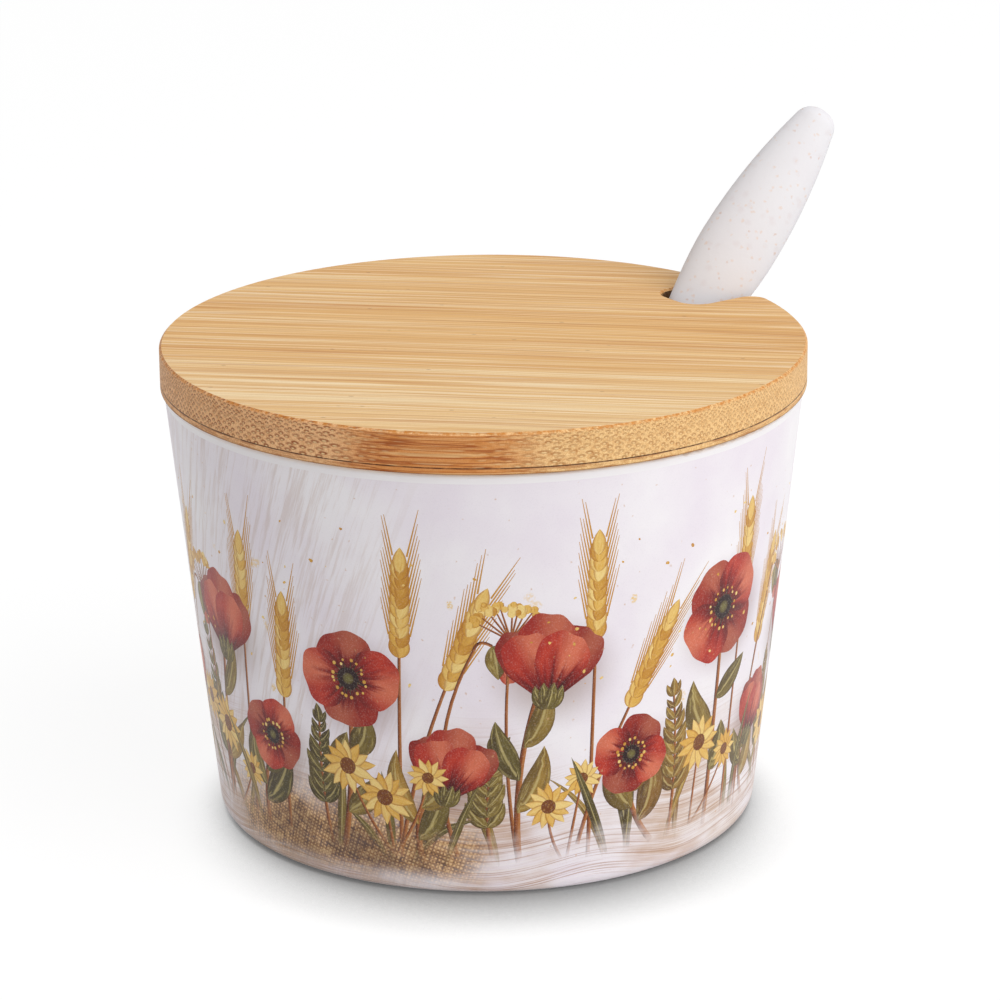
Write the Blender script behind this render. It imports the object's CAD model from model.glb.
import math
import random

import bpy
from mathutils import Matrix, Vector
from mathutils.geometry import delaunay_2d_cdt


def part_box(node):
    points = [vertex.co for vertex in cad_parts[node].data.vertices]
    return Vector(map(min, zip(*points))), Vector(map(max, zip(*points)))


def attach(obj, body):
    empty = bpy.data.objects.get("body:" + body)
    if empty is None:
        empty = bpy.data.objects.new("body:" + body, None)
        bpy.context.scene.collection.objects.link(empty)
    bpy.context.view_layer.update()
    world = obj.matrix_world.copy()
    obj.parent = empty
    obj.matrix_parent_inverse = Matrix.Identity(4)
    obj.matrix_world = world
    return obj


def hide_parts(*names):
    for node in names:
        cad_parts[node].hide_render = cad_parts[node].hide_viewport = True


# Honey dish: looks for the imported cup, print, bamboo lid and spoon, in metres in the row's frame.
# The cup's axis is Z and the notch with the spoon is towards +X.

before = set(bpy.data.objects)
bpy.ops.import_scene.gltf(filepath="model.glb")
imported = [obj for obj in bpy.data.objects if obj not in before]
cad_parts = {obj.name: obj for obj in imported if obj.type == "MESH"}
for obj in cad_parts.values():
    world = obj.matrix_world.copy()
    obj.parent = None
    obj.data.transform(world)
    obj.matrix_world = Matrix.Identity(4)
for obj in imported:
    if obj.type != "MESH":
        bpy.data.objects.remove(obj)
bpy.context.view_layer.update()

MM = 0.001

# The picture is taken with the notch turned to the right and away from the camera
view_turn = math.radians(-35.0)
front_azimuth = view_turn - math.pi / 2
camera_distance = 0.692208
camera_height = 0.281823
camera_down = math.radians(18.2119)
camera_yaw = math.radians(-0.219)
camera_roll = math.radians(-0.4324)
camera_lens = 151.2

grain_azimuth = math.radians(-43.0)

# Sizes of the lid and the print, in millimetres
lid_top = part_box("lid_top_strip_6")[1].z / MM
glue_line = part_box("lid_top_strip_6")[0].z / MM
cup_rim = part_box("cup")[1].z / MM
lid_radius = -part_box("lid_top_strip_6")[0].x / MM
foil_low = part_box("print_foil")[0].z / MM
foil_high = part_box("print_foil")[1].z / MM
foil_thickness = 0.18
same_level = 0.01


def widest(node, height):
    """Largest radius of a node's points at a height."""
    points = [vertex.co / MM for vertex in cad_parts[node].data.vertices]
    return max(math.hypot(p.x, p.y) for p in points if abs(p.z - height) < same_level)


foil_base_radius = widest("print_foil", foil_low)
foil_rim_radius = widest("print_foil", foil_high)
sheet_radius = (foil_base_radius + foil_rim_radius) / 2
sheet_half = math.pi * sheet_radius


def colour(red, green, blue):
    """Linear colour from 0 to 255 screen values."""
    shares = []
    for value in (red, green, blue):
        share = value / 255
        shares.append(share / 12.92 if share <= 0.04045 else ((share + 0.055) / 1.055) ** 2.4)
    return (*shares, 1.0)


def placed(name, data):
    """New object in the scene."""
    made = bpy.data.objects.new(name, data)
    bpy.context.scene.collection.objects.link(made)
    return made


# Shader building
class Shader:
    """The node tree of a material or a world, with short ways to add nodes to it."""

    def __init__(self, name, kind="materials"):
        self.owner = getattr(bpy.data, kind).new(name)
        self.owner.use_nodes = True
        self.tree = self.owner.node_tree
        self.tree.nodes.clear()

    def node(self, kind, inputs=None, **settings):
        made = self.tree.nodes.new(kind)
        for key, value in settings.items():
            setattr(made, key, value)
        for key, value in (inputs or {}).items():
            self.feed(made.inputs[key], value)
        return made

    def feed(self, socket, value):
        if isinstance(value, bpy.types.NodeSocket):
            self.tree.links.new(value, socket)
        else:
            socket.default_value = value

    def math(self, operation, first, second=0.0, third=0.0):
        inputs = {0: first, 1: second, 2: third}
        return self.node("ShaderNodeMath", inputs, operation=operation).outputs[0]

    def times(self, first, second):
        return self.math("MULTIPLY", first, second)

    def between(self, factor, first, second):
        """Number that goes from first to second with factor."""
        return self.math("MULTIPLY_ADD", factor, self.math("SUBTRACT", second, first), first)

    def far(self, x, y):
        """Distance from the origin."""
        return self.math("SQRT", self.math("ADD", self.times(x, x), self.times(y, y)))

    def vector(self, x=0.0, y=0.0, z=0.0):
        return self.node("ShaderNodeCombineXYZ", {0: x, 1: y, 2: z}).outputs[0]

    def parts(self, vector):
        return self.node("ShaderNodeSeparateXYZ", {0: vector}).outputs

    def stretched(self, vector, scale, offset=(0, 0, 0), turn=0.0):
        inputs = {"Vector": vector, "Location": offset, "Rotation": (0, 0, turn), "Scale": scale}
        return self.node("ShaderNodeMapping", inputs).outputs[0]

    def place(self, turn=0.0):
        """Place on the object in millimetres, turned about Z."""
        here = self.node("ShaderNodeTexCoord").outputs["Object"]
        return self.stretched(here, (1 / MM, 1 / MM, 1 / MM), turn=turn)

    def facing(self, place, turn):
        """1 on the side of the cup at this turn to the right of the pictured front, -1 behind."""
        azimuth = front_azimuth + turn
        flat = self.stretched(place, (1, 1, 0))
        outward = self.node("ShaderNodeVectorMath", {0: flat}, operation="NORMALIZE").outputs[0]
        return self.dot(outward, (math.cos(azimuth), math.sin(azimuth), 0))

    def dot(self, first, second):
        both = {0: first, 1: second}
        return self.node("ShaderNodeVectorMath", both, operation="DOT_PRODUCT").outputs["Value"]

    def noise(self, vector, scale=1.0, detail=2.0, roughness=0.5):
        inputs = {"Vector": vector, "Scale": scale, "Detail": detail, "Roughness": roughness}
        return self.node("ShaderNodeTexNoise", inputs).outputs[0]

    def shaken(self, vector, scale, by):
        """The vector moved about a little, so that round marks turn uneven."""
        shake = self.node("ShaderNodeTexNoise", {"Vector": vector, "Scale": scale}).outputs["Color"]
        inputs = {0: shake, 1: (by, by, by), 2: vector}
        return self.node("ShaderNodeVectorMath", inputs, operation="MULTIPLY_ADD").outputs[0]

    def cells(self, vector, scale=1.0, randomness=1.0, dimensions="3D"):
        inputs = {"Vector": vector, "Scale": scale, "Randomness": randomness}
        return self.node("ShaderNodeTexVoronoi", inputs, voronoi_dimensions=dimensions).outputs

    def thread(self, value, half_width):
        """1 in thin lines along which a noise is at its middle."""
        off = self.math("ABSOLUTE", self.math("SUBTRACT", value, 0.5))
        return self.smooth(off, half_width, half_width * 0.2)

    def smooth(self, value, low, high, to_low=0.0, to_high=1.0):
        inputs = {"Value": value, "From Min": low, "From Max": high, "To Min": to_low, "To Max": to_high}
        return self.node("ShaderNodeMapRange", inputs, interpolation_type="SMOOTHSTEP").outputs[0]

    def blend(self, factor, first, second):
        made = self.node("ShaderNodeMix", {0: factor}, data_type="RGBA")
        self.feed(made.inputs[6], first)
        self.feed(made.inputs[7], second)
        return made.outputs[2]

    def ramp(self, factor, *stops):
        """Colour by factor; a stop is its place and its colour's screen values."""
        made = self.node("ShaderNodeValToRGB", {0: factor})
        elements = made.color_ramp.elements
        while len(elements) < len(stops):
            elements.new(1.0)
        for element, (position, *screen) in zip(elements, stops):
            element.position = position
            element.color = colour(*screen)
        return made.outputs[0]

    def bump(self, height, strength, distance):
        inputs = {"Height": height, "Strength": strength, "Distance": distance}
        return self.node("ShaderNodeBump", inputs).outputs[0]

    def shown(self):
        """1 for rays that show the background: seen straight, in gloss or through glass."""
        path = self.node("ShaderNodeLightPath").outputs
        direct = self.math("MAXIMUM", path["Is Camera Ray"], path["Is Glossy Ray"])
        return self.math("MAXIMUM", direct, path["Is Transmission Ray"])

    def finish(self, **inputs):
        surface = self.node("ShaderNodeBsdfPrincipled", inputs)
        self.node("ShaderNodeOutputMaterial", {"Surface": surface.outputs[0]})
        return self.owner


# Bamboo
# How far apart the strips lie in the noise, along and across the grain
strip_shift = (37.0, 11.0)

# Spacing of the fibre bundles, in millimetres, and how far they stray from their rows, 0 to 1
small_bundles = 0.56
large_bundles = 0.78
bundle_disorder = 0.42


class Bamboo(Shader):
    """Bamboo with its grain along the strips; each seed gives other wood."""

    def __init__(self, name, seed):
        super().__init__(name)
        self.seed = seed
        self.offset = (seed * strip_shift[0], seed * strip_shift[1], 0)
        self.here = self.place(-grain_azimuth)
        self.along, self.across, self.height = self.parts(self.here)

        # Fibres wander a little along the strip
        slow = self.stretched(self.here, (0.03, 0.25, 0.25), self.offset)
        wander = self.noise(slow, detail=1.0)
        self.bent = self.math("MULTIPLY_ADD", wander, 1.2, self.across)
        self.fibres = self.vector(self.times(self.along, 0.012), self.bent, self.height)
        self.lines = self.streaks((1, 1.7, 0.8), 4.0, 0.7)
        self.shade = self.smooth(self.lines, 0.46, 0.38)
        self.fine = self.streaks((4, 5.5, 4.0), 2.0)
        self.grit = self.noise(self.here, 5.0, 2.0)

    def streaks(self, scale, detail, roughness=0.5, shift=0.0):
        """Noise that is drawn out along the fibres."""
        along, across, up = self.offset
        spot = self.stretched(self.fibres, scale, (along, across + shift, up))
        return self.noise(spot, detail=detail, roughness=roughness)

    def ground(self, tone):
        """Flat faces, with streaks along the grain; tone goes from 0, tan, to 1, pale."""
        broad = self.stretched(self.here, (0.008, 0.22, 0.3), self.offset)
        broad = self.noise(broad, detail=3.0, roughness=0.6)
        tan = self.ramp(broad, (0.30, 217, 162, 92), (0.50, 229, 179, 110), (0.72, 239, 196, 131))
        pale = self.ramp(broad, (0.30, 230, 184, 118), (0.50, 239, 203, 146), (0.72, 246, 220, 174))
        tint = self.blend(tone, tan, pale)
        streak = self.smooth(self.lines, 0.54, 0.62)
        tint = self.blend(self.times(streak, 0.42 + 0.24 * tone), tint, colour(255, 236, 200))
        tint = self.blend(self.times(self.shade, 0.46 - 0.14 * tone), tint, colour(190, 114, 44))
        tint = self.blend(self.smooth(self.fine, 0.30, 0.60, 0.24, 0.0), tint, colour(168, 104, 46))
        for shift, share, fibre in ((3.0, 0.36, colour(182, 106, 42)), (8.0, 0.34, colour(255, 240, 206))):
            threads = self.thread(self.streaks((0.4, 0.5, 0.5), 1.0, shift=shift), 0.030)
            tint = self.blend(self.times(threads, share), tint, fibre)
        tint = self.blend(self.smooth(self.grit, 0.50, 0.72, 0.0, 0.16), tint, colour(190, 122, 58))
        speck = self.cells(self.stretched(self.here, (0.10, 0.38, 0), (0, 0, self.seed)))[0]
        speck = self.smooth(speck, 0.06, 0.025)
        return self.blend(self.times(speck, 0.7), tint, colour(122, 62, 24))

    def bundle_marks(self, spacing):
        """Dark rims and pale hearts of the fibre bundles, which stand in uneven staggered rows."""
        marks = []
        for lift, outer, inner in ((0.10, 0.48, 0.26), (0.0, 0.22, 0.08)):
            spot = self.vector(self.bent, self.math("SUBTRACT", self.height, lift))
            spot = self.stretched(spot, (1 / spacing, 1 / spacing, 1), turn=math.pi / 4)
            found = self.cells(spot, 1.0, bundle_disorder, "2D")
            strength = self.between(self.parts(found[1])[0], 0.65, 1.0)
            marks.append(self.times(strength, self.smooth(found[0], outer, inner)))
        return marks

    def bundles(self, share):
        """Rims and hearts on the sides, as strong as share: small bundles at the top, large ones below."""
        lower = self.smooth(self.height, lid_top - 1.8, lid_top - 3.0)
        both = zip(self.bundle_marks(small_bundles), self.bundle_marks(large_bundles))
        return [self.times(self.between(lower, small, large), share) for small, large in both]

    def flesh(self, torn, share):
        """Cut sides between the bundles, in dark layers where few bundles show."""
        clean = self.ramp(self.grit, (0.30, 222, 168, 104), (0.65, 250, 212, 152))
        rough = self.ramp(self.grit, (0.30, 224, 162, 108), (0.65, 252, 204, 150))
        layers = self.noise(self.stretched(self.here, (0.2, 0.2, 2.4)), detail=4.0, roughness=0.6)
        layers = self.smooth(layers, 0.46, 0.62, 0.0, 0.75 * (1 - share))
        cut = self.blend(layers, self.blend(torn, clean, rough), colour(158, 84, 32))
        return self.blend(self.times(self.shade, 0.30), cut, colour(190, 118, 54))

    def split(self, cut, lengthwise):
        """Sides along the grain, where the bundles are split into dark and bright bands."""
        cut = self.blend(self.times(lengthwise, 0.72), cut, colour(206, 122, 42))
        bands = self.streaks((2.4, 0.3, 1.7), 2.0)
        dark = self.times(lengthwise, self.thread(bands, 0.06))
        cut = self.blend(self.times(dark, 0.82), cut, colour(156, 72, 18))
        bright = self.times(lengthwise, self.smooth(bands, 0.42, 0.34))
        return self.blend(self.times(bright, 0.4), cut, colour(252, 216, 156))

    def scorched(self, cut, upright):
        """Scorched upper edge and notch walls, the shade over the rim and the dark glue line."""
        ragged = self.smooth(self.noise(self.here, 1.1, 4.0, 0.7), 0.40, 0.62)
        near_edge = self.smooth(self.height, lid_top - 0.60, lid_top - 0.20, 0.0, 0.85)
        cut = self.blend(self.times(near_edge, ragged), cut, colour(204, 124, 36))
        near_rest = self.smooth(self.height, cup_rim + 0.26, cup_rim + 0.06, 0.0, 0.6)
        cut = self.blend(near_rest, cut, colour(104, 58, 26))
        from_rim = self.math("SUBTRACT", lid_radius, self.far(self.along, self.across))
        within = self.times(self.smooth(from_rim, 0.4, 1.4, 0.0, 0.85), upright)
        cut = self.blend(within, cut, colour(70, 38, 18))
        from_glue = self.math("ABSOLUTE", self.math("SUBTRACT", self.height, glue_line))
        uneven = self.smooth(self.noise(self.here, 0.7, 2.0), 0.3, 0.55, 0.5, 1.0)
        glue = self.times(self.smooth(from_glue, 0.16, 0.05), uneven)
        return self.blend(glue, cut, colour(78, 38, 16))


def bamboo(name, tone, seed, share):
    """A strip's material; share says how plain the cut fibre bundles show on its sides."""
    strip = Bamboo(name, seed)
    normal = strip.node("ShaderNodeNewGeometry").outputs["Normal"]
    steepness = strip.math("ABSOLUTE", strip.parts(normal)[2])
    side = strip.smooth(steepness, 0.85, 0.75)
    square_to_grain = (-math.sin(grain_azimuth), math.cos(grain_azimuth), 0)
    lengthwise = strip.math("ABSOLUTE", strip.dot(normal, square_to_grain))
    lengthwise = strip.smooth(lengthwise, 0.942, 0.992)

    # The saw tore the bundles more on the left of the picture than on the right
    torn = strip.smooth(strip.facing(strip.place(), -1.0), 0.2, 0.9)
    cut = strip.split(strip.flesh(torn, share), lengthwise)
    rims, hearts = strip.bundles(share)
    rim_share = strip.times(strip.between(torn, 0.60, 0.85), strip.between(lengthwise, 1.0, 0.30))
    rim_tint = strip.blend(torn, colour(164, 98, 36), colour(142, 64, 18))
    cut = strip.blend(strip.times(rims, rim_share), cut, rim_tint)
    heart_share = strip.between(lengthwise, 0.80, 0.30)
    cut = strip.blend(strip.times(hearts, heart_share), cut, colour(255, 224, 166))
    cut = strip.scorched(cut, strip.smooth(steepness, 0.35, 0.15))

    dents = strip.times(strip.math("SUBTRACT", rims, hearts), side)
    relief = strip.math("SUBTRACT", strip.times(strip.fine, 0.35), dents)
    return strip.finish(**{
        "Base Color": strip.blend(side, strip.ground(tone), cut),
        "Roughness": strip.smooth(strip.lines, 0.3, 0.7, 0.64, 0.52),
        "Specular IOR Level": 0.3,
        "Normal": strip.bump(relief, 0.4, 0.00015),
    })


# Ground of the print
# Patches of bare canvas: turn to the right of the pictured front, half width, both in radians, and
# height of the top, in millimetres. The steep strokes' turn is given in the same way
canvas_patches = ((-0.55, 0.48, 25.0), (2.05, 0.50, 21.0), (-2.50, 0.46, 24.0))
weave_pitch = 0.70
thread_run = 3.2
weave_slant = math.radians(20.0)
steep_lean = math.radians(20.0)
steep_turn = -0.95


def weave(shader, around, height):
    """Two sets of slanting threads, uneven in width and tone, that cross; about 0 on average."""
    tones = []
    waves = []
    for slant in (weave_slant, weave_slant + math.pi / 2):
        run = shader.stretched(shader.vector(around, height), (1, 1, 1), turn=slant)
        thread = shader.stretched(run, (1 / weave_pitch, 1 / (weave_pitch * thread_run), 1))
        tone = shader.noise(thread, 1.0, 2.0, 0.6)
        tones.append(tone)
        phase = shader.math("MULTIPLY_ADD", tone, 5.0, shader.times(shader.parts(thread)[0], 2 * math.pi))
        waves.append(shader.math("SINE", phase))
    crossed = shader.math("MULTIPLY_ADD", shader.math("ADD", *tones), 0.9, -0.9)
    crossed = shader.math("MULTIPLY_ADD", shader.math("ADD", *waves), 0.10, crossed)
    return shader.math("MULTIPLY_ADD", shader.times(*waves), 0.16, crossed)


def dry_brush(shader, place, tint):
    """Dry strokes near the foot, which run round the cup and rise and fall a little."""
    x, y, height = shader.parts(place)
    rise = shader.noise(shader.stretched(place, (0.022, 0.022, 0)), detail=1.0)
    near_foot = shader.smooth(shader.math("MULTIPLY_ADD", rise, -60.0, height), 4.0, -20.0)
    level = shader.math("MULTIPLY_ADD", rise, 14.0, height)
    run = shader.vector(shader.times(x, 0.04), shader.times(y, 0.04), level)
    blotches = shader.noise(shader.stretched(place, (0.05, 0.05, 0.10)), detail=3.0, roughness=0.6)
    blotches = shader.times(near_foot, shader.smooth(blotches, 0.36, 0.66))
    strokes = shader.noise(shader.stretched(run, (1, 1, 1.3)), detail=6.0, roughness=0.75)
    brushed = shader.times(blotches, shader.smooth(strokes, 0.30, 0.60, 0.25, 1.0))
    tint = shader.blend(shader.times(brushed, 0.85), tint, colour(196, 160, 130))
    hairs = shader.noise(shader.stretched(run, (1, 1, 4.4)), detail=3.0, roughness=0.65)
    dark_hairs = shader.times(near_foot, shader.smooth(hairs, 0.53, 0.65))
    tint = shader.blend(shader.times(dark_hairs, 0.60), tint, colour(166, 110, 66))
    pale_hairs = shader.times(near_foot, shader.smooth(hairs, 0.46, 0.34))
    return shader.blend(shader.times(pale_hairs, 0.5), tint, colour(246, 240, 236))


def steep_brush(shader, place, around, tint):
    """Steep strokes that lean over on the left."""
    height = shader.parts(place)[2]
    slid = shader.math("MULTIPLY_ADD", height, -math.tan(steep_lean), around)
    steep = shader.noise(shader.vector(shader.times(slid, 0.9), shader.times(height, 0.05)), 1.0, 4.0, 0.7)
    on_left = shader.smooth(shader.facing(place, steep_turn), math.cos(0.85), math.cos(0.25))
    steep = shader.times(on_left, shader.smooth(steep, 0.46, 0.62))
    return shader.blend(shader.times(steep, 0.42), tint, colour(206, 184, 172))


def canvas(shader, place, around, tint):
    """Patches of brown canvas, darkest in their middle and faint at the very foot."""
    height = shader.parts(place)[2]
    inside = 0.0
    for turn, half_width, top in canvas_patches:
        patch = shader.smooth(
            shader.facing(place, turn), math.cos(half_width * 1.45), math.cos(half_width * 0.20))
        patch = shader.times(patch, shader.smooth(height, top, top * 0.3))
        inside = shader.math("MAXIMUM", inside, patch)
    ragged = shader.math("MULTIPLY_ADD", shader.noise(place, 0.16, 3.0), 0.9, inside)
    cover = shader.times(shader.smooth(ragged, 0.62, 1.42), shader.smooth(height, 1.4, 5.5, 0.15, 0.94))
    mottle = shader.noise(place, 0.5, 3.0)
    cloth = shader.math("MULTIPLY_ADD", mottle, 0.6, weave(shader, around, height))
    cloth = shader.ramp(cloth, (0.02, 88, 58, 42), (0.30, 172, 124, 74), (0.58, 232, 194, 138))
    cloth = shader.blend(shader.smooth(ragged, 1.24, 1.52, 0.0, 0.55), cloth, colour(78, 54, 44))
    return shader.blend(cover, tint, cloth)


def paper(shader, place):
    """Pale lilac ground, brushed with beige, with patches of brown canvas."""
    x, y, _ = shader.parts(place)
    around = shader.times(shader.math("ARCTAN2", y, x), sheet_radius)
    clouds = shader.noise(place, 0.06, 3.0)
    tint = shader.ramp(clouds, (0.35, 239, 231, 239), (0.65, 247, 243, 246))
    tint = dry_brush(shader, place, tint)
    tint = steep_brush(shader, place, around, tint)
    return canvas(shader, place, around, tint)


# Cup and spoon
def flecks(shader, place, spacing, size, share):
    """Small uneven grains: one in some of the cells, by share."""
    found = shader.cells(shader.shaken(place, 1.3, 0.9), 1 / spacing)
    chosen = shader.math("LESS_THAN", shader.parts(found[1])[0], share)
    return shader.times(chosen, shader.smooth(found[0], size, size * 0.15))


def ware_tint(shader, place, base, grains):
    """Moulded fibre ware: off-white and a little cloudy, with grains in it."""
    cloud = shader.noise(place, 0.12, 3.0)
    tint = shader.blend(shader.smooth(cloud, 0.35, 0.65, 0.0, 0.06), base, colour(214, 200, 208))
    for fleck, spacing, size, share, strength in grains:
        marks = flecks(shader, place, spacing, size, share)
        tint = shader.blend(shader.times(marks, strength), tint, fleck)
    return tint


def ware_finish(shader, place, tint, roughness):
    grain = shader.noise(place, 2.2, 2.0)
    return shader.finish(**{
        "Base Color": tint,
        "Roughness": shader.smooth(grain, 0.3, 0.7, roughness - 0.04, roughness + 0.05),
        "Specular IOR Level": 0.4,
        "Normal": shader.bump(grain, 0.12, 0.0001),
    })


def cup_ware():
    """The cup's ware, with the print's ground running on over the rounding below the foil."""
    shader = Shader("cup_ware")
    place = shader.place()
    tint = ware_tint(shader, place, colour(247, 244, 246), (
        (colour(206, 168, 132), 2.4, 0.11, 0.35, 0.6),
    ))
    x, y, height = shader.parts(place)
    outside = shader.smooth(shader.far(x, y), foil_base_radius - 1.7, foil_base_radius - 0.8)
    below = shader.math("LESS_THAN", height, foil_low + 0.1)
    tint = shader.blend(shader.times(outside, below), tint, paper(shader, place))
    return ware_finish(shader, place, tint, 0.34)


def spoon_ware():
    shader = Shader("spoon_ware")
    place = shader.place()
    tint = ware_tint(shader, place, colour(230, 228, 231), (
        (colour(216, 202, 202), 2.6, 0.36, 0.7, 0.25),
        (colour(228, 200, 180), 1.4, 0.30, 0.9, 0.55),
        (colour(208, 162, 132), 2.2, 0.16, 0.6, 0.50),
    ))
    return ware_finish(shader, place, tint, 0.55)


def dress(node, material):
    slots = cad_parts[node].data.materials
    slots.clear()
    slots.append(material)


top_tones = (0.12, 0.26, 0.10, 0.24, 0.68, 0.84)
top_bundles = 1.0
base_tone = 0.3
base_bundles = 0.25
base_seed = 7
for number, tone in enumerate(top_tones, 1):
    top = bamboo("bamboo_top_%d" % number, tone, number, top_bundles)
    dress("lid_top_strip_%d" % number, top)
    base = bamboo("bamboo_base_%d" % number, base_tone, number + base_seed, base_bundles)
    dress("lid_base_strip_%d" % number, base)
dress("cup", cup_ware())
dress("spoon", spoon_ware())


# The print, drawn flat: x runs along the wall from the side that faces the camera, y is the height
INKS = ("ground", "petal", "heart", "leaf", "stem", "gold")
petal_width = 0.98
petal_steps = 26
stalk_steps = 12
leaf_steps = 14
neck_steps = 8
daisy_petals = 13

# The sheet's bare margin and its mesh, in millimetres
sheet_margin = 0.4
sheet_step = 2.4
pointed_half = 0.02
least_half = 0.05
merge_distance = 0.0005
same_place = 0.001


def quadratic(start, bend, end, count):
    """Points along a curve that leaves start and reaches end, pulled towards bend."""
    points = []
    for step in range(count + 1):
        t = step / count
        points.append(start * (1 - t) ** 2 + bend * (2 * t * (1 - t)) + end * t ** 2)
    return points


def heading(angle, length):
    """Step of this length at an angle from the x axis."""
    return Vector((math.cos(angle), math.sin(angle))) * length


class Drawing:
    """Outlines in paint order, each with its ink, its tone and its own coordinates."""

    def __init__(self, seed):
        self.random = random.Random(seed)
        self.points = []
        self.outlines = []
        self.motifs = []

    def around(self, middle, spread):
        return middle + self.random.uniform(-spread, spread)

    def add(self, outline, ink, tone, local):
        """Keep an outline, given counter-clockwise, if it lies on the sheet."""
        widest_x = sheet_half - sheet_margin
        lowest = foil_low + sheet_margin
        highest = foil_high - sheet_margin
        if not all(abs(p.x) < widest_x and lowest < p.y < highest for p in outline):
            return
        first = len(self.points)
        self.points.extend(outline)
        self.outlines.append(list(range(first, len(self.points))))
        self.motifs.append((INKS.index(ink), tone, local))

    def ribbon(self, ink, spine, halves, tone):
        """Band along spine; its coordinates are the side, -1 to 1, and the share of the length."""
        right = []
        left = []
        for index, (point, half) in enumerate(zip(spine, halves)):
            before = spine[max(index - 1, 0)]
            after = spine[min(index + 1, len(spine) - 1)]
            run = (after - before).normalized()
            side = Vector((-run.y, run.x)) * half
            right.append(point - side)
            if half > pointed_half:
                left.append(point + side)
        last = len(spine) - 1

        def local(point):
            best = None
            for index in range(last):
                start = spine[index]
                run = spine[index + 1] - start
                share = max(0.0, min(1.0, (point - start).dot(run) / run.length_squared))
                off = point - start - run * share
                if best is None or off.length_squared < best[0]:
                    half = halves[index] + (halves[index + 1] - halves[index]) * share
                    sign = 1.0 if run.cross(off) > 0 else -1.0
                    side = sign * min(1.0, off.length / max(half, least_half))
                    best = (off.length_squared, side, (index + share) / last)
            return best[1], best[2]

        self.add(right + left[::-1], ink, tone, local)

    def disc(self, ink, centre, radius, tone, flat=1.0, turn=0.0, wobble=0.0, count=20):
        """Round patch; its coordinates are the place from the centre, in radii."""
        outline = []
        for step in range(count):
            angle = 2 * math.pi * step / count
            size = radius * (1 + self.around(0, wobble))
            point = Vector((math.cos(angle) * size, math.sin(angle) * size * flat))
            outline.append(centre + Matrix.Rotation(turn, 2) @ point)

        def local(point):
            out = Matrix.Rotation(-turn, 2) @ (point - centre)
            return out.x / radius, out.y / (radius * flat)

        self.add(outline, ink, tone, local)

    def fan(self, foot, angle, width, reach, tone):
        """Petal that spreads from its foot; its coordinates are the place from the foot, in reaches."""
        phase = self.random.uniform(0, 2 * math.pi)
        outline = [foot]
        for step in range(petal_steps + 1):
            side = 2 * step / petal_steps - 1
            edge = 1 - 0.42 * abs(side) ** 3
            ruffle = 1 + 0.022 * math.sin(5 * side + phase) + 0.012 * math.sin(13 * side - phase)
            outline.append(foot + heading(angle + side * width, reach * edge * ruffle))

        def local(point):
            out = Matrix.Rotation(-angle, 2) @ (point - foot) / reach
            return out.x, out.y * petal_width / width

        self.add(outline, "petal", tone, local)

    # Motifs
    def stalk(self, foot, head, sway, half):
        middle = (foot + head) / 2 + Vector((sway, 0))
        spine = quadratic(foot, middle, head, stalk_steps)
        halves = [half * (1.15 - 0.45 * step / stalk_steps) for step in range(stalk_steps + 1)]
        self.ribbon("stem", spine, halves, self.random.random())
        return spine

    def blade(self, foot, angle, length, half, curl, tone, ink="leaf"):
        """Lance-shaped leaf."""
        bend = foot + heading(angle, length * 0.55)
        tip = foot + heading(angle + curl, length)
        spine = quadratic(foot, bend, tip, leaf_steps)
        halves = []
        for step in range(leaf_steps + 1):
            t = step / leaf_steps
            halves.append(max(0.0, half * math.sin(math.pi * t ** 0.8) ** 0.9) + 0.12 * (1 - t))
        self.ribbon(ink, spine, halves, tone)

    def halo(self, centre, size):
        """Soft shadow that a bloom throws on the ground."""
        self.disc("ground", centre + Vector((0.9, -1.6)), size * 0.72, 0.8, flat=0.9, count=28)

    def splash(self, centre, radius):
        """Faint drop of gold."""
        self.disc("ground", centre, radius, -self.around(0.55, 0.3), self.around(0.75, 0.2),
                  self.random.uniform(0, math.pi), 0.2, 14)

    def open_bloom(self, centre, size):
        """Bloom seen from the front: two petals behind, two before, and a dark heart."""
        first = self.random.uniform(0, 2 * math.pi)
        for row, tone in ((0, 0.15), (1, 0.70)):
            for number in range(2):
                angle = first + math.pi * (row / 2 + number) + self.around(0, 0.14)
                foot = centre - heading(angle, size * 0.05)
                reach = size * self.around(0.55, 0.025)
                self.fan(foot, angle, self.around(petal_width, 0.06), reach, tone + self.around(0.1, 0.1))
        self.disc("heart", centre, size * 0.115, 0.0, wobble=0.05, count=24)
        count = 18
        for number in range(count):
            angle = 2 * math.pi * (number + self.around(0, 0.3)) / count
            spot = centre + heading(angle, size * self.around(0.175, 0.025))
            self.ribbon("heart", [centre + heading(angle, size * 0.11), spot], [0.10, 0.07], 0.0)
            self.disc("gold", spot, self.around(0.29, 0.06), self.random.random(), count=8)

    def cup_bloom(self, foot, size, lean):
        """Bloom seen from the side, its petals rising from the stalk."""
        up = math.pi / 2 - lean
        for angle, reach, width, tone in (
            (0.46, 0.80, 0.46, 0.10), (-0.46, 0.80, 0.46, 0.20), (0.0, 0.88, 0.52, 0.40),
            (0.34, 0.74, 0.52, 0.65), (-0.28, 0.71, 0.58, 0.90),
        ):
            self.fan(foot, up + angle + self.around(0, 0.06), width, size * reach,
                     tone + self.around(0, 0.06))
        for angle in (0.85, -0.85, 0.3, -0.3):
            self.blade(foot - heading(up, 0.7), up + angle, size * 0.26, size * 0.06, -angle * 0.4, 0.3)

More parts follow.
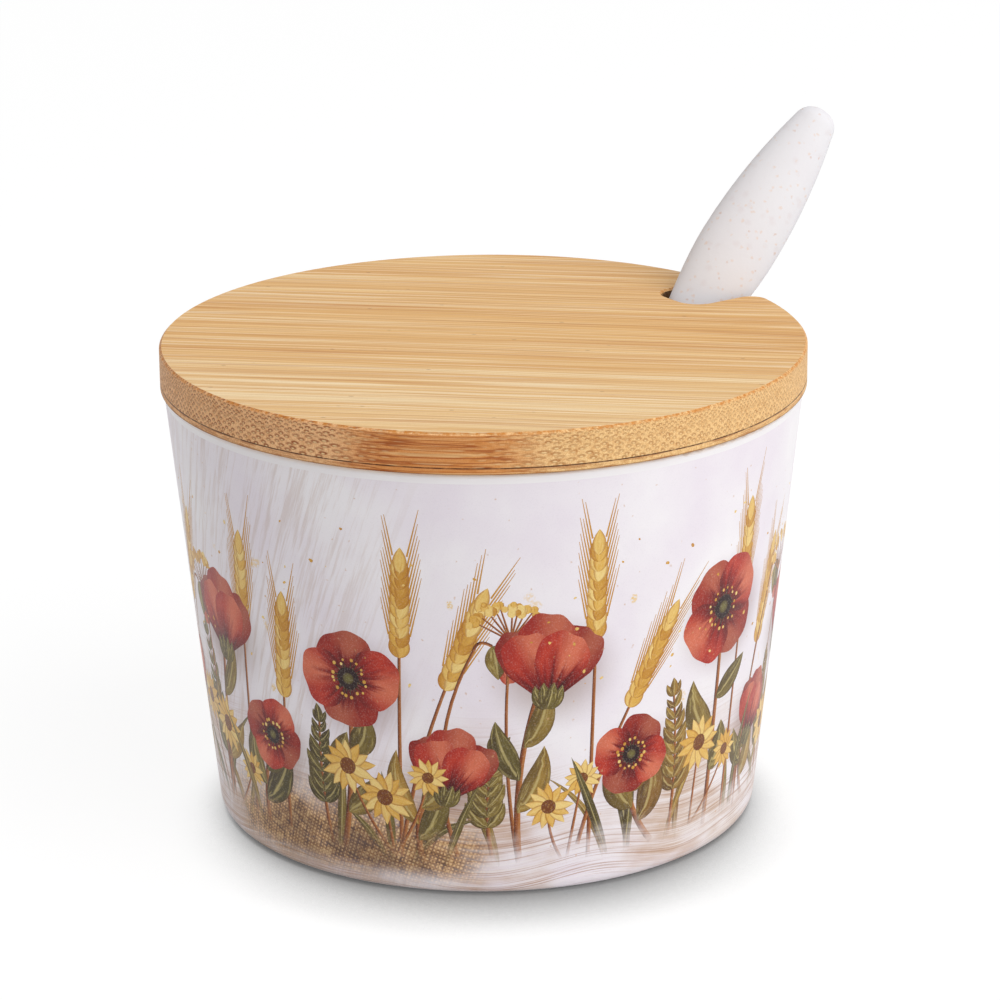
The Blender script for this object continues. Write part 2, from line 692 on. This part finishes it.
    def poppy(self, x, height, size, front):
        foot = Vector((x + self.around(0, 7), self.around(5.5, 1.5)))
        head = Vector((x, height))
        spine = self.stalk(foot, head, self.around(0, 6), 0.55)
        for step, side in ((3, 1), (5, -1), (7, 1)):
            self.blade(spine[step], math.pi / 2 + side * self.around(-0.85, 0.25), self.around(11, 3),
                       self.around(2.3, 0.5), side * self.around(0.4, 0.3), self.random.random())
        if front:
            self.open_bloom(head, size)
        else:
            self.cup_bloom(head - Vector((0, size * 0.4)), size, self.around(0, 0.3))

    def bud(self, x, height, side):
        """Nodding bud with the red showing at its tip."""
        foot = Vector((x - side * self.around(5, 3), self.around(6, 1.5)))
        head = Vector((x, height))
        self.stalk(foot, head, -side * self.around(6, 2), 0.36)
        bend = head + Vector((side * 0.6, 2.4))
        neck = quadratic(head, bend, head + Vector((side * 3.0, 0.8)), neck_steps)
        self.ribbon("stem", neck, [0.28] * len(neck), 0.5)
        down = -math.pi / 2 + side * self.around(0.35, 0.15)
        self.fan(neck[-1] + heading(down, 2.0), down, 0.42, 5.6, 0.5)
        self.blade(neck[-1], down + 0.16, 6.4, 1.9, 0.1, 0.2)
        self.blade(neck[-1], down - 0.20, 6.2, 1.7, -0.1, 0.5)

    def daisy(self, centre, size):
        """Small gold bloom."""
        first = self.random.uniform(0, 1)
        for number in range(daisy_petals):
            angle = first + 2 * math.pi * number / daisy_petals
            self.blade(centre, angle + self.around(0, 0.08), size * self.around(0.5, 0.04), size * 0.095,
                       0.0, self.around(0.7, 0.3), "gold")
        self.disc("heart", centre, size * 0.15, 1.0, count=18)

    def daisies(self, x, height):
        foot = Vector((x + self.around(0, 3), self.around(6, 1.5)))
        for side in self.random.sample((-1, 0, 1), self.random.choice((1, 2, 3))):
            head = Vector((x + side * self.around(7, 1.5), height + self.around(0, 6)))
            self.stalk(foot, head, side * 2.0, 0.28)
            self.daisy(head, self.around(8.6, 1.8))

    def ear(self, x, height, lean):
        """Ear of grain: paired kernels with long awns."""
        head = Vector((x, height))
        foot = Vector((x - lean * 26 + self.around(0, 3), self.around(7, 2)))
        spine = self.stalk(foot, head, -lean * 6, 0.36)
        up = math.atan2(*(spine[-1] - spine[-3]).yx)
        for row in range(9):
            base = head + heading(up, 1.75 * row - 5)
            spread = 0.42 - 0.02 * row
            for side in (1, -1):
                tip = base + heading(up + side * spread, 4.4)
                awn = [tip, tip + heading(up + side * 0.20, self.around(8, 1.5))]
                self.ribbon("gold", awn, [0.16, 0.05], 0.1)
            for side in (1, -1):
                self.blade(base, up + side * spread, self.around(4.5, 0.3), 1.15, -side * 0.25,
                           self.random.random(), "gold")
        self.blade(base + heading(up, 1.2), up, 4.6, 1.1, 0.0, 0.7, "gold")

    def umbel(self, x, height):
        """Spray of small gold heads on thin rays."""
        foot = Vector((x + self.around(0, 3), self.around(7, 2)))
        knot = Vector((x, height - 7))
        self.stalk(foot, knot, self.around(0, 4), 0.32)
        for number in range(11):
            angle = math.radians(28 + 12.4 * number + self.around(0, 4))
            end = knot + heading(angle, self.around(6.6, 0.9))
            self.ribbon("stem", [knot, end], [0.2, 0.12], 0.6)
            for dot in range(3):
                spot = end + heading(self.random.uniform(0, 2 * math.pi), 0.55 * dot)
                self.disc("gold", spot, self.around(0.72, 0.2), self.random.random(), count=10)

    def fern(self, x, height):
        """Sprig with paired leaflets that shorten to its tip."""
        foot = Vector((x + self.around(0, 4), self.around(6, 1.5)))
        spine = self.stalk(foot, Vector((x, height)), self.around(0, 6), 0.34)
        tone = self.random.random()
        for step in range(4, stalk_steps + 1):
            up = math.atan2(*(spine[min(step + 1, stalk_steps)] - spine[step - 1]).yx)
            for side in (1, -1):
                length = 7.6 - 0.42 * step + self.around(0, 0.5)
                self.blade(spine[step], up + side * self.around(0.85, 0.1), length, length * 0.20,
                           -side * 0.3, tone + self.around(0, 0.12))
        self.blade(spine[stalk_steps], math.pi / 2, 3.4, 0.8, 0.1, tone)

    def grass(self, x):
        """One long thin blade."""
        lean = self.around(0, 0.5)
        self.blade(Vector((x, self.around(5.2, 0.8))), math.pi / 2 + lean, self.around(18, 7),
                   self.around(0.75, 0.2), self.around(lean * 0.8, 0.3), self.random.random())


def draw_meadow():
    """Border of wild flowers and grain that stands round the cup."""
    drawing = Drawing(11)
    clumps = 10
    pitch = 2 * sheet_half / clumps
    middles = [-sheet_half + pitch * (number + 0.5) for number in range(clumps)]
    blooms = []
    for number, x in enumerate(middles):
        even = number % 2 == 0
        tall = (x + drawing.around(-6, 2.5), drawing.around(41, 5), drawing.around(18.5, 1.0), even)
        low = (x + drawing.around(9, 2.5), drawing.around(24, 3), drawing.around(15.0, 1.0), not even)
        blooms.extend((tall, low))
    for _ in range(46):
        spot = Vector((drawing.around(0, sheet_half), drawing.around(46, 16)))
        drawing.splash(spot, drawing.around(1.3, 0.7))
    for x, height, size, _ in blooms:
        drawing.halo(Vector((x, height)), size)
    for number, x in enumerate(middles):
        for _ in range(4):
            drawing.grass(x + drawing.around(0, 16))
        drawing.fern(x - 14, drawing.around(33, 5))
        drawing.ear(x + 2, drawing.around(47, 4), drawing.around(0.12, 0.2))
        drawing.ear(x + 11, drawing.around(41, 4), drawing.around(0.2, 0.2))
        if number % 2:
            drawing.umbel(x - 12, drawing.around(52, 3))
        else:
            drawing.bud(x + 14, drawing.around(47, 3), 1)
    for bloom in sorted(blooms, key=lambda bloom: -bloom[1]):
        drawing.poppy(*bloom)
    for x in middles:
        drawing.daisies(x + drawing.around(-4, 5), drawing.around(19, 4))
        drawing.grass(x + drawing.around(4, 6))
    for _ in range(150):
        spot = Vector((drawing.around(0, sheet_half), 38 + 28 * drawing.random.random() ** 1.4))
        drawing.disc("gold", spot, drawing.around(0.28, 0.15), drawing.random.random(),
                     flat=0.7, turn=drawing.random.uniform(0, 3), wobble=0.3, count=8)
    return drawing


def foil_radius(height):
    """Outside of the foil at a height, all in millimetres."""
    share = (height - foil_low) / (foil_high - foil_low)
    return foil_base_radius + share * (foil_rim_radius - foil_base_radius)


def wall_point(x, y, inset=0.0):
    azimuth = front_azimuth + x / sheet_radius
    radius = foil_radius(y) - inset
    return Vector((radius * math.cos(azimuth), radius * math.sin(azimuth), y)) * MM


def wall_normal(x):
    azimuth = front_azimuth + x / sheet_radius
    slope = (foil_rim_radius - foil_base_radius) / (foil_high - foil_low)
    return Vector((math.cos(azimuth), math.sin(azimuth), -slope)).normalized()


def sheet_grid():
    """Points spread over the whole flat sheet, its edges included."""
    columns = round(2 * sheet_half / sheet_step)
    rows = round((foil_high - foil_low) / sheet_step)
    points = []
    for row in range(rows + 1):
        y = foil_low + (foil_high - foil_low) * row / rows
        for column in range(columns + 1):
            points.append(Vector((-sheet_half + 2 * sheet_half * column / columns, y)))
    return points


def joined_ends(flat):
    """Each point's number; the two ends of the sheet meet at the back, so there the points are one."""
    at_start = {round(p.y, 3): index for index, p in enumerate(flat) if p.x < -sheet_half + same_place}
    same = list(range(len(flat)))
    for index, p in enumerate(flat):
        if p.x > sheet_half - same_place:
            same[index] = at_start[round(p.y, 3)]
    return same


class Surface:
    """Points and faces, with the ink of each face and the paint and normal of each of its corners."""

    def __init__(self, vertices):
        self.vertices = vertices
        self.polygons = []
        self.inks = []
        self.paint = []
        self.normals = []

    def add(self, corners, ink, paints, normals):
        self.polygons.append(corners)
        self.inks.append(ink)
        for values in paints:
            self.paint.extend(values)
        self.normals.extend(normals)

    def made(self, name, materials):
        mesh = bpy.data.meshes.new(name)
        mesh.from_pydata(self.vertices, [], self.polygons)
        for material in materials:
            mesh.materials.append(material)
        mesh.polygons.foreach_set("material_index", self.inks)
        mesh.polygons.foreach_set("use_smooth", [True] * len(self.polygons))
        mesh.attributes.new("paint", "FLOAT_VECTOR", "CORNER").data.foreach_set("vector", self.paint)
        mesh.normals_split_custom_set(self.normals)
        return placed(name, mesh)


def add_outside(surface, drawing, flat, same, faces, sources):
    """The drawing's faces, each painted by the last motif that covers it."""
    known = {}
    for face, source in zip(faces, sources):
        motif = max(source, default=-1)
        ink, tone, local = drawing.motifs[motif] if motif >= 0 else (0, 0.0, None)
        paints = []
        for index in face:
            if (motif, index) not in known:
                known[motif, index] = local(flat[index]) if local else (0.0, 0.0)
            paints.append((*known[motif, index], tone))
        normals = [wall_normal(flat[index].x) for index in face]
        surface.add([same[index] for index in face], ink, paints, normals)


def add_inside(surface, flat, same):
    """Both rims and the side that lies on the cup."""
    rings = []
    for level in (foil_low, foil_high):
        ring = [i for i, p in enumerate(flat) if abs(p.y - level) < same_place and same[i] == i]
        ring.sort(key=lambda index: flat[index].x)
        inner = []
        for index in ring:
            inner.append(len(surface.vertices))
            surface.vertices.append(wall_point(flat[index].x, level, foil_thickness))
        rings.append((ring, inner))
    (low, low_inner), (high, high_inner) = rings
    up = Vector((0, 0, 1))
    bare = [(0.0, 0.0, 0.0)] * 4
    for here in range(len(low)):
        there = (here + 1) % len(low)
        inward = -wall_normal(flat[low[here]].x)
        for corners, normal in (
            ([low[there], low[here], low_inner[here], low_inner[there]], -up),
            ([high[here], high[there], high_inner[there], high_inner[here]], up),
            ([low_inner[there], low_inner[here], high_inner[here], high_inner[there]], inward),
        ):
            surface.add(corners, 0, bare, [normal] * 4)


def make_print(drawing, materials):
    """One closed skin: the drawing wrapped round the cup, with its inner side and both rims."""
    points = drawing.points + sheet_grid()
    flat, _, faces, _, _, sources = delaunay_2d_cdt(points, [], drawing.outlines, 0, merge_distance)
    same = joined_ends(flat)
    surface = Surface([wall_point(p.x, p.y) for p in flat])
    add_outside(surface, drawing, flat, same, faces, sources)
    add_inside(surface, flat, same)
    skin = surface.made("print_skin", materials)
    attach(skin, "cup")
    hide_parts("print_foil")


# Inks
class Ink(Shader):
    """A printed colour: side and length are the motif's own coordinates, tone its shade."""

    def __init__(self, name):
        super().__init__("print_" + name)
        paint = self.node("ShaderNodeAttribute", attribute_name="paint").outputs["Vector"]
        self.side, self.length, self.tone = self.parts(paint)
        self.here = self.place()
        self.ground = paper(self, self.here)

    def strokes(self, side, across, length, along):
        """Pencil strokes that run along the motif."""
        shift = self.times(self.tone, 31.0)
        spot = self.vector(self.math("MULTIPLY_ADD", side, across, shift), self.times(length, along), shift)
        return self.noise(spot, 1.0, 3.0, 0.6)

    def glazed(self, tint, grain_share):
        """The print under the ware's satin glaze, with a share of pencil grain in it."""
        grain = self.noise(self.here, 4.0, 3.0, 0.6)
        tint = self.blend(self.smooth(grain, 0.50, 0.70, 0.0, grain_share), tint, colour(252, 242, 232))
        tint = self.blend(self.smooth(grain, 0.50, 0.30, 0.0, grain_share), tint, colour(72, 48, 42))
        marks = flecks(self, self.here, 2.0, 0.14, 0.45)
        tint = self.blend(self.times(marks, 0.6), tint, colour(208, 162, 118))
        soft = self.noise(self.here, 1.6, 2.0)
        return self.finish(**{
            "Base Color": tint,
            "Roughness": self.smooth(soft, 0.3, 0.7, 0.30, 0.40),
            "Specular IOR Level": 0.25,
            "Normal": self.bump(soft, 0.06, 0.0001),
        })

    def printed(self, tint):
        """A motif's colour on the ground, into which it fades at the foot of the cup."""
        height = self.parts(self.here)[2]
        uneven = self.noise(self.here, 0.5, 3.0)
        cover = self.smooth(self.math("MULTIPLY_ADD", uneven, 8.0, height), 8.5, 17.0)
        return self.glazed(self.blend(cover, self.ground, tint), 0.11)


def ground_ink():
    """Ground with the blooms' shadows, where the tone is over 0, and gold drops, where it is under."""
    ink = Ink("ground")
    out = ink.far(ink.side, ink.length)
    shade = ink.times(ink.tone, ink.smooth(out, 1.0, 0.25, 0.0, 0.75))
    tint = ink.blend(ink.math("MAXIMUM", shade, 0.0), ink.ground, colour(142, 106, 92))
    drop = ink.times(ink.tone, ink.smooth(ink.noise(ink.here, 2.4, 3.0), 0.62, 0.40, 0.0, -1.0))
    drop = ink.times(drop, ink.smooth(out, 1.0, 0.6))
    return ink.glazed(ink.blend(ink.math("MAXIMUM", drop, 0.0), tint, colour(236, 196, 104)), 0.04)


def petal_ink():
    ink = Ink("petal")
    out = ink.far(ink.side, ink.length)
    turn = ink.math("ARCTAN2", ink.length, ink.side)
    strokes = ink.strokes(turn, 6.5, out, 1.2)
    reach = ink.math("MULTIPLY_ADD", ink.math("SUBTRACT", strokes, 0.5), 0.85, out)
    tint = ink.ramp(
        reach, (0.14, 36, 10, 14), (0.30, 92, 18, 20), (0.55, 154, 34, 28), (0.80, 190, 60, 42),
        (1.00, 172, 46, 36))
    lit = ink.times(ink.smooth(turn, -0.8, -0.25), ink.smooth(turn, 0.35, -0.2))
    lit = ink.times(lit, ink.smooth(reach, 0.42, 0.72))
    tint = ink.blend(ink.times(lit, 0.6), tint, colour(232, 138, 104))
    edge = ink.smooth(ink.math("ABSOLUTE", turn), petal_width * 0.62, petal_width, 0.0, 0.7)
    tint = ink.blend(edge, tint, colour(92, 20, 24))
    dark = ink.smooth(ink.tone, 0.8, 0.0, 0.0, 0.55)
    return ink.printed(ink.blend(dark, tint, colour(84, 18, 22)))


def heart_ink():
    """Dark heart of a poppy, at tone 0, or brown heart of a daisy, at tone 1."""
    ink = Ink("heart")
    out = ink.far(ink.side, ink.length)
    dots = ink.cells(ink.here, 2.6)[0]
    poppy = ink.ramp(out, (0.10, 120, 112, 62), (0.42, 96, 84, 48), (0.55, 40, 18, 20))
    daisy = ink.ramp(dots, (0.1, 206, 150, 70), (0.4, 120, 66, 28))
    tint = ink.blend(ink.tone, poppy, daisy)
    return ink.printed(ink.blend(ink.smooth(dots, 0.5, 0.2, 0.0, 0.3), tint, colour(46, 26, 20)))


def leaf_ink():
    ink = Ink("leaf")
    strokes = ink.strokes(ink.side, 4.0, ink.length, 3.0)
    tint = ink.ramp(
        ink.tone, (0.0, 76, 68, 36), (0.3, 112, 98, 48), (0.6, 142, 116, 54), (0.8, 172, 132, 58),
        (1.0, 112, 74, 38))
    tint = ink.blend(ink.smooth(ink.side, -0.1, 0.4, 0.0, 0.5), tint, colour(62, 48, 32))
    tint = ink.blend(ink.smooth(strokes, 0.5, 0.75, 0.0, 0.6), tint, colour(206, 186, 118))
    tint = ink.blend(ink.smooth(strokes, 0.5, 0.28, 0.0, 0.5), tint, colour(66, 48, 28))
    rib = ink.smooth(ink.math("ABSOLUTE", ink.side), 0.16, 0.04, 0.0, 0.55)
    tint = ink.blend(rib, tint, colour(208, 190, 128))
    edge = ink.smooth(ink.math("ABSOLUTE", ink.side), 0.75, 1.0, 0.0, 0.55)
    return ink.printed(ink.blend(edge, tint, colour(74, 50, 30)))


def stem_ink():
    ink = Ink("stem")
    strokes = ink.strokes(ink.side, 2.0, ink.length, 9.0)
    shade = ink.math("MULTIPLY_ADD", strokes, 0.6, ink.times(ink.side, 0.3))
    return ink.printed(ink.ramp(shade, (0.10, 182, 118, 64), (0.35, 142, 78, 40), (0.60, 80, 38, 24)))


def gold_ink():
    ink = Ink("gold")
    strokes = ink.strokes(ink.side, 4.0, ink.length, 3.0)
    shade = ink.math("MULTIPLY_ADD", ink.math("SUBTRACT", strokes, 0.5), 0.9, ink.tone)
    tint = ink.ramp(shade, (0.0, 198, 140, 52), (0.5, 226, 178, 84), (1.0, 242, 212, 136))
    edge = ink.smooth(ink.math("ABSOLUTE", ink.side), 0.55, 1.0, 0.0, 0.7)
    return ink.printed(ink.blend(edge, tint, colour(168, 102, 34)))


# The inks stand in the order of their names in INKS
make_print(draw_meadow(), [ground_ink(), petal_ink(), heart_ink(), leaf_ink(), stem_ink(), gold_ink()])


# Camera, floor and light, in metres
lamp_place = (0.80, -0.60, 1.10)
lamp_target = Vector((0, 0, 0.04))
lamp_size = 1.5
lamp_power = 15.5
world_light = 0.5

# The floor is plain and pale; where it is seen, most of it glows white, less so close to the object
floor_half = 4.0
floor_pale = 0.8
floor_seen = 0.16
floor_glow = 0.88
contact_reach = 0.008
shadow_reach = 0.0295
shadow_lean = math.radians(40.0)
shadow_side = -0.06


def turned(x, y, z):
    """A point given as seen from the camera: x to the right, y away, z up."""
    return Matrix.Rotation(view_turn, 3, "Z") @ Vector((x, y, z))


def make_camera():
    lens = bpy.data.cameras.new("camera")
    lens.lens = camera_lens
    camera = placed("camera", lens)
    aim = Matrix.Rotation(view_turn + camera_yaw, 4, "Z")
    aim = aim @ Matrix.Rotation(math.pi / 2 - camera_down, 4, "X")
    aim = aim @ Matrix.Rotation(camera_roll, 4, "Z")
    camera.matrix_world = Matrix.Translation(turned(0, -camera_distance, camera_height)) @ aim
    bpy.context.scene.camera = camera


def make_lamp():
    light = bpy.data.lights.new("key", "AREA")
    light.shape = "DISK"
    light.size = lamp_size
    light.energy = lamp_power
    lamp = placed("key", light)
    lamp.location = turned(*lamp_place)
    towards = lamp_target - lamp.location
    lamp.rotation_euler = towards.to_track_quat("-Z", "Y").to_euler()


def floor_material():
    """Diffuse floor whose glow is dimmed at the foot and, in a leaning shadow, towards the camera."""
    shader = Shader("floor")
    shown = shader.shown()
    plain = shader.node("ShaderNodeBsdfDiffuse", {"Color": shader.between(shown, floor_pale, floor_seen)})
    contact = shader.node("ShaderNodeAmbientOcclusion", {"Distance": contact_reach}).outputs["AO"]
    contact = shader.smooth(contact, 0.25, 0.90, 0.78, 1.0)
    leaning = turned(shadow_side, math.sin(shadow_lean), math.cos(shadow_lean))
    leaning = {"Distance": shadow_reach, "Normal": shader.vector(*leaning)}
    cast = shader.node("ShaderNodeAmbientOcclusion", leaning).outputs["AO"]
    cast = shader.smooth(cast, 0.20, 0.72, 0.14, 1.0)
    glow = shader.times(shader.times(contact, cast), floor_glow)
    glow = shader.node("ShaderNodeEmission", {"Strength": shader.times(shown, glow)})
    both = shader.node("ShaderNodeAddShader", {0: plain.outputs[0], 1: glow.outputs[0]})
    shader.node("ShaderNodeOutputMaterial", {"Surface": both.outputs[0]})
    return shader.owner


def make_floor():
    mesh = bpy.data.meshes.new("floor")
    corners = [(x * floor_half, y * floor_half, 0) for x, y in ((-1, -1), (1, -1), (1, 1), (-1, 1))]
    mesh.from_pydata(corners, [], [(0, 1, 2, 3)])
    mesh.materials.append(floor_material())
    floor = placed("floor", mesh)


def make_world():
    shader = Shader("studio", "worlds")
    strength = shader.between(shader.shown(), world_light, 1.0)
    backdrop = shader.node("ShaderNodeBackground", {"Color": (1, 1, 1, 1), "Strength": strength})
    shader.node("ShaderNodeOutputWorld", {"Surface": backdrop.outputs[0]})
    bpy.context.scene.world = shader.owner


make_camera()
make_floor()
make_world()
make_lamp()
bpy.context.scene.view_settings.view_transform = "Standard"
